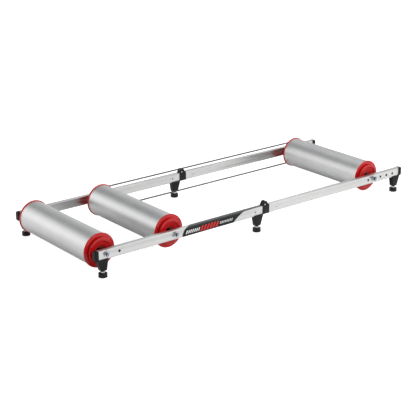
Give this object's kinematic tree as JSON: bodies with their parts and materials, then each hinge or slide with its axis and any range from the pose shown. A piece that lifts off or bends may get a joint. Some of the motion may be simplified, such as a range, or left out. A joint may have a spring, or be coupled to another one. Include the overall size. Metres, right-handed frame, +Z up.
{
  "type": "bicycle training rollers",
  "caption": "Folding bicycle rollers: three drums with moulded caps in a hinged aluminium frame, with a round drive belt to the front drum and levelling feet.",
  "frame": {"origin": "centre of the whole outline, unfolded, at floor level", "axes": "+X towards the front drum, +Y towards the side with the belt, +Z up"},
  "size_m": [1.3815, 0.5062, 0.1305],
  "materials": {
    "rail_aluminium": "satin anodised",
    "drum_aluminium": "turned satin",
    "cap_plastic": "glossy moulded red",
    "bracket_plastic": "moulded black, fine grain",
    "foot_rubber": "moulded black rubber",
    "zinc_steel": "bright zinc plated",
    "bearing_steel": "ground and polished",
    "belt_rubber": "round extruded belt",
    "rivet_aluminium": "bright rivet"
  },
  "bodies": {
    "rear_frame": {"rear_rail_near": "rail_aluminium", "rear_rail_far": "rail_aluminium", "rear_leg_near": "bracket_plastic", "rear_leg_far": "bracket_plastic", "hinge_leg_near": "bracket_plastic", "hinge_leg_far": "bracket_plastic", "hinge_pins": "zinc_steel", "rear_rail_rivets": "rivet_aluminium", "rear_axle": "zinc_steel", "rear_axle_spacers": "zinc_steel", "rear_axle_washers": "zinc_steel", "rear_axle_nuts": "zinc_steel", "rear_bearing_inner_rings": "bearing_steel", "rear_bearing_balls": "bearing_steel", "middle_axle": "zinc_steel", "middle_axle_spacers": "zinc_steel", "middle_axle_washers": "zinc_steel", "middle_axle_nuts": "zinc_steel", "middle_bearing_inner_rings": "bearing_steel", "middle_bearing_balls": "bearing_steel", "drive_belt": "belt_rubber"},
    "front_frame": {"front_rail_near": "rail_aluminium", "front_rail_far": "rail_aluminium", "front_leg_near": "bracket_plastic", "front_leg_far": "bracket_plastic", "hinge_tongue_near": "bracket_plastic", "hinge_tongue_far": "bracket_plastic", "front_rail_rivets": "rivet_aluminium", "front_axle": "zinc_steel", "front_axle_spacers": "zinc_steel", "front_axle_washers": "zinc_steel", "front_axle_nuts": "zinc_steel", "front_bearing_inner_rings": "bearing_steel", "front_bearing_balls": "bearing_steel"},
    "rear_drum": {"rear_drum_tube": "drum_aluminium", "rear_cap_near": "cap_plastic", "rear_cap_far": "cap_plastic", "rear_bearing_outer_rings": "bearing_steel"},
    "middle_drum": {"middle_drum_tube": "drum_aluminium", "middle_cap_near": "cap_plastic", "middle_cap_far": "cap_plastic", "middle_bearing_outer_rings": "bearing_steel"},
    "front_drum": {"front_drum_tube": "drum_aluminium", "front_cap_near": "cap_plastic", "front_cap_far": "cap_plastic", "front_bearing_outer_rings": "bearing_steel"},
    "rear_foot_near": {"rear_stud_near": "zinc_steel", "rear_pad_near": "foot_rubber"},
    "rear_foot_far": {"rear_stud_far": "zinc_steel", "rear_pad_far": "foot_rubber"},
    "hinge_foot_near": {"hinge_stud_near": "zinc_steel", "hinge_pad_near": "foot_rubber"},
    "hinge_foot_far": {"hinge_stud_far": "zinc_steel", "hinge_pad_far": "foot_rubber"},
    "front_foot_near": {"front_stud_near": "zinc_steel", "front_pad_near": "foot_rubber"},
    "front_foot_far": {"front_stud_far": "zinc_steel", "front_pad_far": "foot_rubber"}
  },
  "joints": [
    {"name": "frame_fold", "type": "hinge", "parent": "rear_frame", "child": "front_frame", "pos_m": [0.01125, 0, 0.0915], "axis": [0, -1, 0], "range_deg": [0, 180], "deforming": ["drive_belt"]},
    {"name": "rear_drum_spin", "type": "hinge", "parent": "rear_frame", "child": "rear_drum", "pos_m": [-0.63425, 0, 0.074], "axis": [0, 1, 0], "continuous": true},
    {"name": "middle_drum_spin", "type": "hinge", "parent": "rear_frame", "child": "middle_drum", "pos_m": [-0.36625, 0, 0.074], "axis": [0, 1, 0], "continuous": true},
    {"name": "front_drum_spin", "type": "hinge", "parent": "front_frame", "child": "front_drum", "pos_m": [0.54575, 0, 0.074], "axis": [0, 1, 0], "continuous": true},
    {"name": "rear_foot_near_height", "type": "slide", "parent": "rear_frame", "child": "rear_foot_near", "axis": [0, 0, -1], "range_m": [-0.002, 0.01]},
    {"name": "rear_foot_far_height", "type": "slide", "parent": "rear_frame", "child": "rear_foot_far", "axis": [0, 0, -1], "range_m": [-0.002, 0.01]},
    {"name": "hinge_foot_near_height", "type": "slide", "parent": "rear_frame", "child": "hinge_foot_near", "axis": [0, 0, -1], "range_m": [-0.002, 0.01]},
    {"name": "hinge_foot_far_height", "type": "slide", "parent": "rear_frame", "child": "hinge_foot_far", "axis": [0, 0, -1], "range_m": [-0.002, 0.01]},
    {"name": "front_foot_near_height", "type": "slide", "parent": "front_frame", "child": "front_foot_near", "axis": [0, 0, -1], "range_m": [-0.002, 0.01]},
    {"name": "front_foot_far_height", "type": "slide", "parent": "front_frame", "child": "front_foot_far", "axis": [0, 0, -1], "range_m": [-0.002, 0.01]}
  ],
  "couplings": [
    {"joint": "front_drum_spin", "follows": "middle_drum_spin", "ratio": 1}
  ]
}
